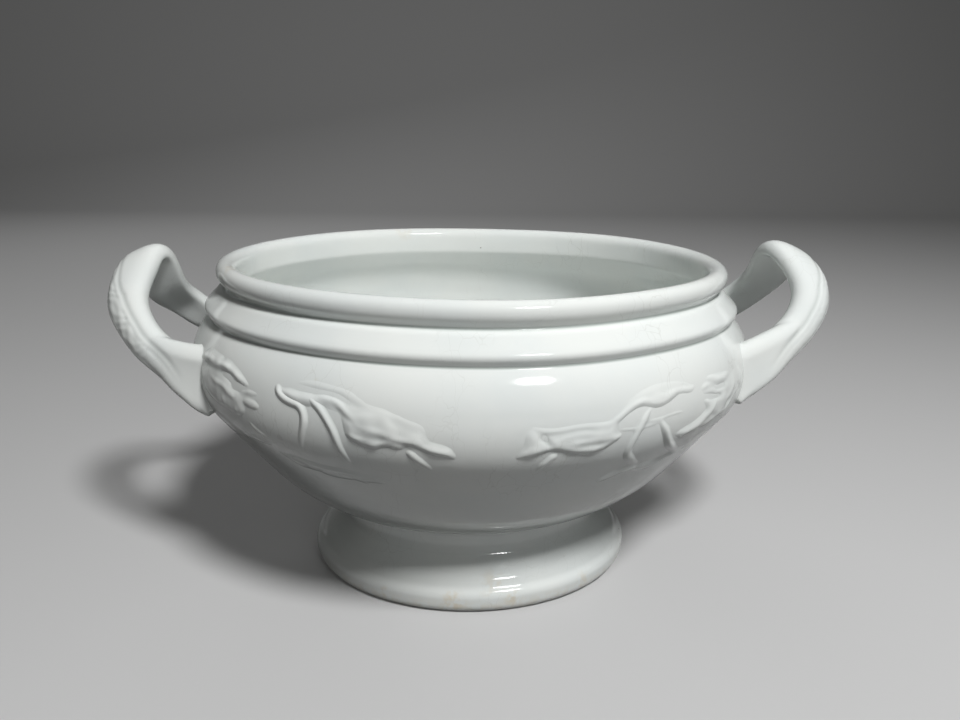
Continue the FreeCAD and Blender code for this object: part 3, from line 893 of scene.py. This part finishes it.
# Stained places: centre in metres, radius in metres, strength.
BOWL_STAINS = [
    ((-0.0665, -0.0985, 0.1325), 0.0022, 0.8),
    ((-0.112, -0.036, 0.1655), 0.011, 0.30),
    ((-0.040, 0.094, 0.1655), 0.009, 0.16),
]
FOOT_STAINS = [
    ((-0.046, -0.061, 0.007), 0.004, 0.30),
    ((-0.012, -0.071, 0.007), 0.008, 0.42),
    ((0.018, -0.070, 0.008), 0.006, 0.42),
    ((0.008, -0.068, 0.015), 0.010, 0.22),
    ((0.056, -0.056, 0.008), 0.006, 0.24),
    ((-0.02, 0.0705, 0.007), 0.008, 0.3),
]


def glaze(name, stains=(), grime=0.0):
    """Off-white glossy glaze over ironstone: clouded, crazed, pitted, and darker in hollows, as gathered
    glaze and painted shade.
    """
    wiring = Wiring(name)
    place = wiring.add("TexCoord")["Object"]
    cloud = wiring.add("TexNoise", {"Vector": place, "Scale": 22.0, "Detail": 3.0})["Fac"]
    colour = wiring.blend(wiring.band(cloud, 0.35, 0.68), WHITE, COOL)

    stretched = wiring.add("Mapping", {"Vector": place, "Scale": (1.0, 1.0, 0.25)})[0]
    wander = wiring.add("TexNoise", {"Vector": place, "Scale": 120.0, "Detail": 2.0})["Color"]
    astray = wiring.add("VectorMath", {0: wander, "Scale": 0.0055}, operation="SCALE")[0]
    warped = wiring.add("VectorMath", {0: stretched, 1: astray}, operation="ADD")[0]
    cell_edge = wiring.add(
        "TexVoronoi", {"Vector": warped, "Scale": 150.0}, feature="DISTANCE_TO_EDGE"
    )["Distance"]
    crack = wiring.band(cell_edge, 0.008, 0.020, 1.0, 0.0)
    patchy = wiring.add("TexNoise", {"Vector": place, "Scale": 31.0, "Detail": 1.0})["Fac"]
    crack = wiring.times(crack, wiring.band(patchy, 0.48, 0.68, 0.0, 0.24))
    colour = wiring.blend(crack, colour, CRAZE)

    spots = wiring.add("TexVoronoi", {"Vector": place, "Scale": 95.0})
    dot = wiring.band(spots["Distance"], 0.030, 0.050, 1.0, 0.0)
    chosen = wiring.add("SeparateColor", {0: spots["Color"]})[0]
    pit = wiring.times(dot, wiring.band(chosen, 0.86, 0.90))
    colour = wiring.blend(wiring.times(pit, 0.8), colour, PIT)

    blotch = wiring.add("TexNoise", {"Vector": place, "Scale": 260.0, "Detail": 3.0})["Fac"]
    blotchy = wiring.band(blotch, 0.38, 0.62)
    for centre, radius, strength in stains:
        far = wiring.add("VectorMath", {0: place, 1: centre}, operation="DISTANCE")["Value"]
        near = wiring.band(far, radius * 0.3, radius, strength, 0.0)
        colour = wiring.blend(wiring.times(near, blotchy), colour, TAN)
    if grime:
        height = wiring.add("SeparateXYZ", {0: place})["Z"]
        low = wiring.band(height, 0.001, 0.010, grime, 0.0)
        colour = wiring.blend(wiring.times(low, blotchy), colour, TAN)

    # Hollows are blended towards the darker grey-green: partly gathered glaze, partly painted shade.
    pool_and_shade = wiring.add("Attribute", attribute_name="pool_and_shade")["Fac"]
    colour = wiring.blend(pool_and_shade, colour, POOLED_AND_SHADED)
    wiring.tree.links.new(colour, socket(wiring.shader, "Base Color"))

    ripple = wiring.add("TexNoise", {"Vector": place, "Scale": 55.0, "Detail": 2.0})["Fac"]
    surface = wiring.add("Bump", {"Height": ripple, "Strength": 0.05, "Distance": 0.004})[0]
    fine = wiring.add("Bump", {
        "Height": crack, "Normal": surface, "Strength": 0.12, "Distance": 0.0003,
    }, invert=True)[0]
    wiring.tree.links.new(fine, socket(wiring.shader, "Normal"))
    socket(wiring.shader, "Roughness").default_value = 0.09
    socket(wiring.shader, "IOR").default_value = 1.52
    return wiring.material


glazes = {
    "bowl_glaze": glaze("bowl_glaze", BOWL_STAINS),
    "foot_glaze": glaze("foot_glaze", FOOT_STAINS, grime=0.25),
    "handle_glaze": glaze("handle_glaze"),
    "relief_glaze": glaze("relief_glaze"),
}
for piece, node, slot in (
    (bowl, "bowl", "bowl_glaze"),
    (foot, "pedestal_foot", "foot_glaze"),
    (right_handle, "right_handle", "handle_glaze"),
    (left_handle, "left_handle", "handle_glaze"),
    *((piece, node, "relief_glaze") for node, piece in relief_pieces.items()),
):
    piece.data.materials.append(glazes[slot])
    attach(piece, "root")
    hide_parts(node)


def make_floor():
    """A pale sweep: flat in front, curving up far behind."""
    width, front, back, rise = 6.0, -3.0, 1.6, 2.4
    profile = [(front, 0.0), (back, 0.0)]
    bend = 0.8
    steps = 24
    for k in range(1, steps + 1):
        a = math.pi / 2 * k / steps
        profile.append((back + bend * math.sin(a), bend * (1 - math.cos(a))))
    profile.append((back + bend, rise))
    points = [(x, y, z) for x in (-width / 2, width / 2) for y, z in profile]
    count = len(profile)
    faces = [(k, count + k, count + k + 1, k + 1) for k in range(count - 1)]
    mesh = bpy.data.meshes.new("floor")
    mesh.from_pydata(points, [], faces)
    mesh.polygons.foreach_set("use_smooth", [True] * len(mesh.polygons))
    floor = bpy.data.objects.new("floor", mesh)
    bpy.context.scene.collection.objects.link(floor)
    material = bpy.data.materials.new("floor_paper")
    material.use_nodes = True
    shader = material.node_tree.nodes["Principled BSDF"]
    socket(shader, "Base Color").default_value = (0.62, 0.62, 0.62, 1)
    socket(shader, "Roughness").default_value = 0.9
    floor.data.materials.append(material)
    floor.visible_diffuse = False


make_floor()


def area_light(name, azimuth, elevation, distance, size, power, aim=(0, 0, 0.1)):
    """A soft box: azimuth is from the front towards the right handle, in degrees."""
    a, e = math.radians(azimuth), math.radians(elevation)
    way = Vector((math.sin(a) * math.cos(e), -math.cos(a) * math.cos(e), math.sin(e)))
    data = bpy.data.lights.new(name, "AREA")
    data.shape = "ELLIPSE"
    data.size, data.size_y = size
    data.energy = power
    light = bpy.data.objects.new(name, data)
    light.location = Vector(aim) + way * distance
    light.rotation_mode = "QUATERNION"
    light.rotation_quaternion = (-way).to_track_quat("-Z", "Y")
    bpy.context.scene.collection.objects.link(light)
    return light


key = area_light("key_softbox", 24, 54, 1.3, (0.26, 0.26), 15.7)
low_lamp = area_light("low_softbox", 23, 38, 1.2, (0.26, 0.19), 2.4)
front_fill = area_light("front_fill", 18, 10, 1.8, (1.4, 0.5), 4.2)
rear_fill = area_light("rear_fill", 200, 38, 1.8, (1.4, 0.9), 4)
# The low lamp makes the highlights in the glaze; the other three light the clay.
low_lamp.visible_diffuse = False
for lamp in (key, front_fill, rear_fill):
    lamp.visible_glossy = False

world = bpy.data.worlds.new("studio")
world.use_nodes = True
background = world.node_tree.nodes["Background"]
socket(background, "Color").default_value = (1.0, 1.0, 0.97, 1)
socket(background, "Strength").default_value = 0.04
bpy.context.scene.world = world
bpy.context.scene.view_settings.view_transform = "Standard"


def make_camera():
    """Stands before the bowl and looks down on its rim."""
    distance, height = 371 * MM, 230.5 * MM
    pitch, pan, roll, yaw = (math.radians(v) for v in (18.1, 0.62, 0.9, 3.0))
    data = bpy.data.cameras.new("camera")
    data.sensor_width = 36
    data.lens = 27.04
    camera = bpy.data.objects.new("camera", data)
    camera.location = (-distance * math.sin(yaw), -distance * math.cos(yaw), height)
    camera.rotation_euler = (math.pi / 2 - pitch, 0, -(pan + yaw))
    camera.rotation_mode = "QUATERNION"
    look = camera.rotation_euler.to_quaternion()
    camera.rotation_quaternion = look @ Quaternion((0, 0, 1), roll)
    bpy.context.scene.collection.objects.link(camera)
    bpy.context.scene.camera = camera


make_camera()
